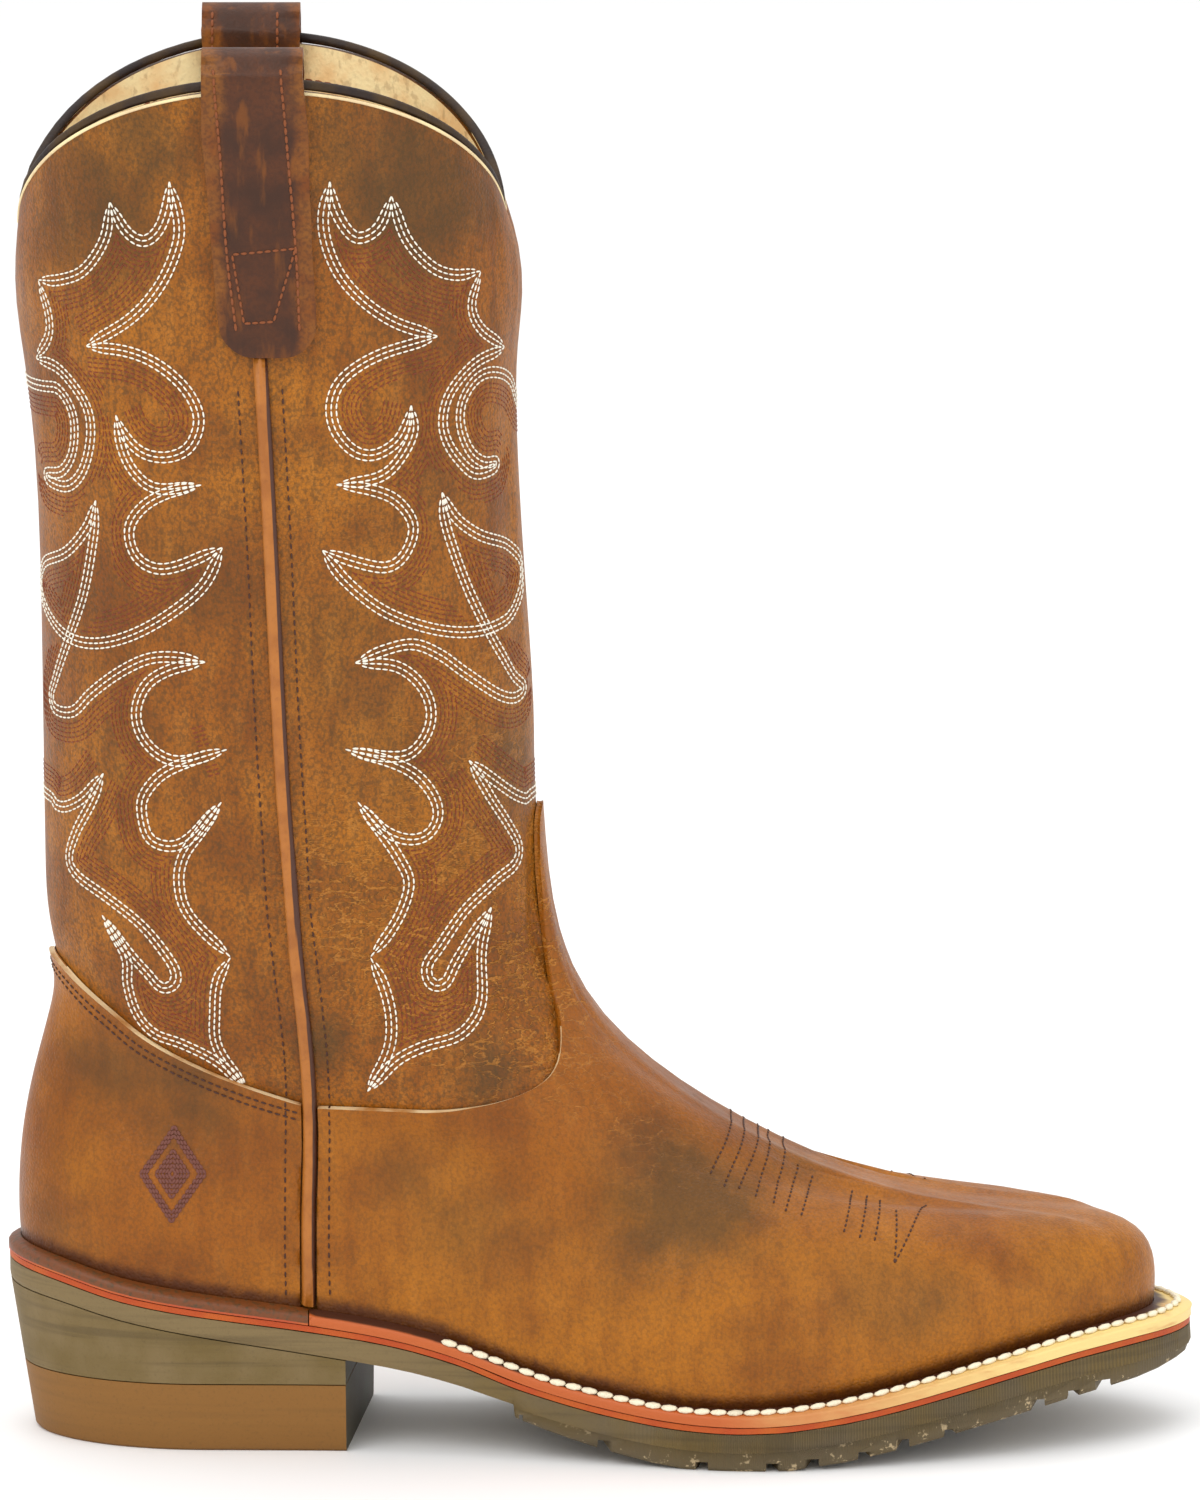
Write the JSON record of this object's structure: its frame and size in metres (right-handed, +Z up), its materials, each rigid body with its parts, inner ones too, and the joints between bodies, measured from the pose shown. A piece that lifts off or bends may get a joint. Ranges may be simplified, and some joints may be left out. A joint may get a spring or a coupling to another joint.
{
  "type": "western work boot",
  "caption": "Pull-on western work boot for the right foot: tall shaft with scalloped collar, two pull straps, stitched welt, lugged sole and stacked heel.",
  "frame": {"origin": "middle of the heel's top lift on the floor", "axes": "+X from heel to toe, +Y to the inner (medial) side, +Z up"},
  "size_m": [0.31, 0.1139, 0.3688],
  "materials": {
    "upper": "oiled pull-up leather, tan-brown",
    "vamp": "oiled pull-up leather, tan-brown",
    "heel_counter": "oiled pull-up leather, tan-brown",
    "side_piping_lateral": "oiled pull-up leather, tan-brown",
    "side_piping_medial": "oiled pull-up leather, tan-brown",
    "collar_binding": "dark brown",
    "pull_strap_lateral": "dark tan",
    "pull_strap_medial": "dark tan",
    "insole": "matte natural",
    "welt": "natural, waxed",
    "heel_rand": "orange-red",
    "midsole": "orange-red",
    "outsole": "olive-grey",
    "heel_block": "olive-brown",
    "top_lift": "brown"
  },
  "bodies": {
    "root": {"upper": "upper", "vamp": "vamp", "heel_counter": "heel_counter", "side_piping_lateral": "side_piping_lateral", "side_piping_medial": "side_piping_medial", "collar_binding": "collar_binding", "pull_strap_lateral": "pull_strap_lateral", "pull_strap_medial": "pull_strap_medial", "insole": "insole", "welt": "welt", "heel_rand": "heel_rand", "midsole": "midsole", "outsole": "outsole", "heel_block": "heel_block", "top_lift": "top_lift"}
  },
  "joints": []
}
